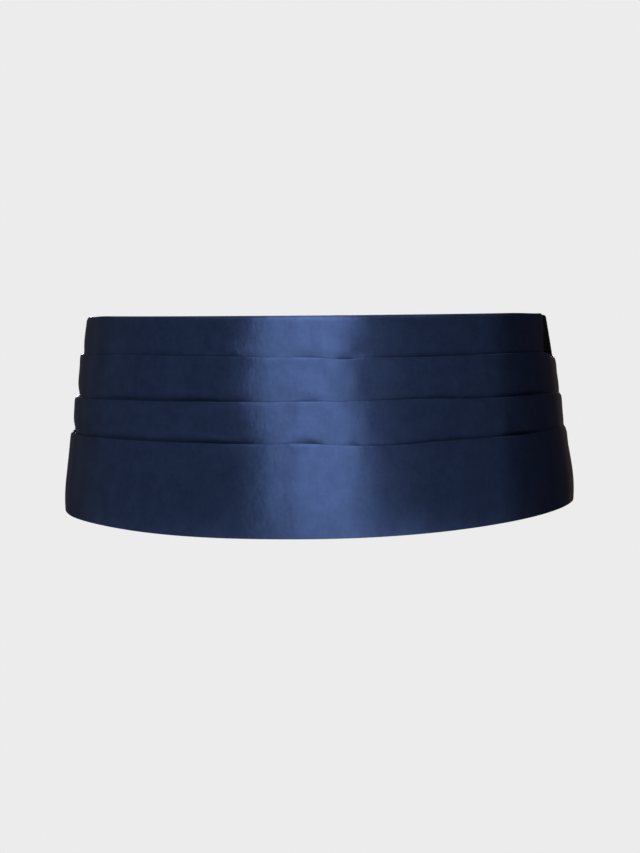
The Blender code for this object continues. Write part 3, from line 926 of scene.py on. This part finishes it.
# soft boxes in a ring round the cloth: name, azimuth, elevation, width, height (degrees), brightness
softBoxes = (
    ("high key", -3, 42, 22, 24, 6.3), ("key", -2, 5, 21, 44, 1.63),
    ("key edge", -15, 5, 5, 40, 1.38), ("low key", 1, -31, 24, 24, 2.35),
    ("low key right", 26, -32, 18, 24, 0.8),
    ("left wall", -68.5, 8, 55, 34, 0.152), ("far left wall", -111, 8, 30, 34, 0.087),
    ("back left", -145, 8, 38, 34, 0.034),
    ("right near wall", 18, 8, 14, 34, 0.19), ("right wall", 37, 8, 24, 34, 0.02),
    ("right corner", 66, 8, 36, 34, 0.116), ("back right", 134, 8, 46, 34, 0.012),
    ("right rim", 173, 8, 22, 34, 0.048),
    ("low back right", 122, -36, 26, 24, 0.3),
    ("low left", -72, -28, 80, 24, 0.36), ("floor left", -72, -54, 80, 24, 0.5),
    ("high left", -70, 45, 80, 26, 0.33), ("high right", 60, 45, 70, 26, 0.17),
    ("low right", 60, -50, 70, 26, 1.34),
    ("floor bounce", 0, -75, 60, 30, 1.75), ("top", 0, 76, 60, 24, 1),
    ("back top", 180, 64, 60, 24, 1.1), ("back", 190, 8, 28, 34, 0.06),
    ("back key", 191.5, 24, 5, 50, 14),     # too far round to reach the front
)
# a warm wall at the far right, which the cloth there reflects
boxTints = {"low back right": "#ffb080", "back right": "#ffb080", "right rim": "#ffc8a0"}
lens = {
    "focal": 152.8, "azimuth": 11.46, "distance": 2200, "height": 20,
    "aimAcross": 1.36, "aimHeight": -47.4, "roll": -0.43,
}


def makeStage():
    # a plain pale paper floor and room that only the camera sees: the soft boxes alone light the cloth
    paper = bpy.data.materials.new("pale seamless paper")
    paper.use_nodes = True
    tree = paper.node_tree
    tree.nodes.clear()
    glow = addNode(tree, "ShaderNodeEmission", {"Color": linear(studio["paper"]), "Strength": 1.0})
    addNode(tree, "ShaderNodeOutputMaterial", {"Surface": glow.outputs["Emission"]})
    for name in ("room", "floor"):
        mesh = bmesh.new()
        bmesh.ops.create_uvsphere(mesh, u_segments=48, v_segments=24, radius=studio["roomRadius"] * mm)
        for vert in mesh.verts:
            if name == "floor":     # pressed flat
                vert.co.z = -studio["floorBelow"] * mm + studio["pressedTo"] * vert.co.z
        made = meshObject(name, takeMesh(name, mesh), paper)
        made.visible_diffuse = made.visible_glossy = made.visible_shadow = False
        made.visible_transmission = made.visible_volume_scatter = False
    world = bpy.data.worlds.new("dim studio")
    bpy.context.scene.world = world
    world.use_nodes = True
    world.node_tree.nodes["Background"].inputs["Color"].default_value = (1, 1, 1, 1)
    world.node_tree.nodes["Background"].inputs["Strength"].default_value = studio["shade"]


def around(azimuth, distance, height):
    turn = math.radians(azimuth)
    return Vector((distance * math.sin(turn), -distance * math.cos(turn), height)) * mm


def makeLights():
    centre = Vector((0.0, 0.0, studio["lightCentre"] * mm))
    reach = studio["lightDistance"] * mm
    for name, azimuth, elevation, wide, tall, brightness in softBoxes:
        light = bpy.data.lights.new(name, "AREA")
        light.shape = "RECTANGLE"
        light.size = 2 * reach * math.tan(math.radians(wide / 2))
        light.size_y = 2 * reach * math.tan(math.radians(tall / 2))
        light.energy = brightness * math.pi * light.size * light.size_y
        light.color = linear(boxTints.get(name, "#ffffff"))[:3]
        made = bpy.data.objects.new(name, light)
        rise = math.radians(elevation)
        level = around(azimuth, studio["lightDistance"] * math.cos(rise), 0.0)
        made.location = centre + level + Vector((0.0, 0.0, reach * math.sin(rise)))
        made.rotation_euler = (centre - made.location).to_track_quat("-Z", "Y").to_euler()
        made.visible_camera = False
        bpy.context.scene.collection.objects.link(made)


def makeCamera():
    data = bpy.data.cameras.new("camera")
    data.lens, data.sensor_width = lens["focal"], 36.0
    data.clip_start, data.clip_end = 0.1, 40.0
    camera = bpy.data.objects.new("camera", data)
    camera.location = around(lens["azimuth"], lens["distance"], lens["height"])
    turn = math.radians(lens["azimuth"])
    across = Vector((math.cos(turn), math.sin(turn), 0.0)) * lens["aimAcross"] * mm
    aim = across + Vector((0.0, 0.0, lens["aimHeight"] * mm)) - camera.location
    camera.rotation_mode = "QUATERNION"
    camera.rotation_quaternion = aim.to_track_quat("-Z", "Y")
    roll = math.radians(lens["roll"])
    camera.rotation_quaternion = camera.rotation_quaternion @ Quaternion((0, 0, 1), roll)
    bpy.context.scene.collection.objects.link(camera)
    bpy.context.scene.camera = camera
    bpy.context.scene.view_settings.view_transform = "Standard"


satinFace, satinReverse = makeSatin(), makeSatinReverse()
frontPanel = makeFrontPanel(satinFace, satinReverse)
print("front panel:", len(frontPanel.data.polygons), "faces")
elastic = makeElastic()
strapLeft, strapLength = makeStrap("strap_left_elastic", "strap_left", -1, elastic)
strapRight, strapLength = makeStrap("strap_right_elastic", "strap_right", 1, elastic)
print("straps:", round(strapLength), "mm long")
plating = makePlating()
strapSlot = roundedLoop(clasp["slotEdge"], -clasp["margin"], clasp["barEdge"],
                        strap["width"] + clasp["margin"], clasp["holeCorner"])
windowLow = (strap["width"] - clasp["windowHeight"]) / 2
window = roundedLoop(clasp["windowInner"], windowLow, clasp["windowOuter"],
                     windowLow + clasp["windowHeight"], clasp["holeCorner"])
hookLoops = [plateOutline("hookEdge"), strapSlot]
eyeLoops = [plateOutline("eyeEdge"), strapSlot, window]
makeClaspPlate("clasp_hook_plate", "clasp_hook", 1, hookLoops, plating, addTongue)
makeClaspPlate("clasp_eye_plate", "clasp_eye", -1, eyeLoops, plating)
print("clasp: hook and eye")
navyThread = makeThread("navy polyester thread", "#2b3a66", "#141d38")
blackThread = makeThread("black polyester thread", "#26262a", "#0a0a0c")
panelSewn, strapSewn = makeStitches(navyThread, blackThread)
print("stitches done")
panelArea = sum(face.area for face in frontPanel.data.polygons) / 2
print("panel cloth", round(panelArea, 4), "square metres")
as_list(panelSewn)
for band, sewn in zip((strapLeft, strapRight), strapSewn):
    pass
makeStage()
makeLights()
makeCamera()
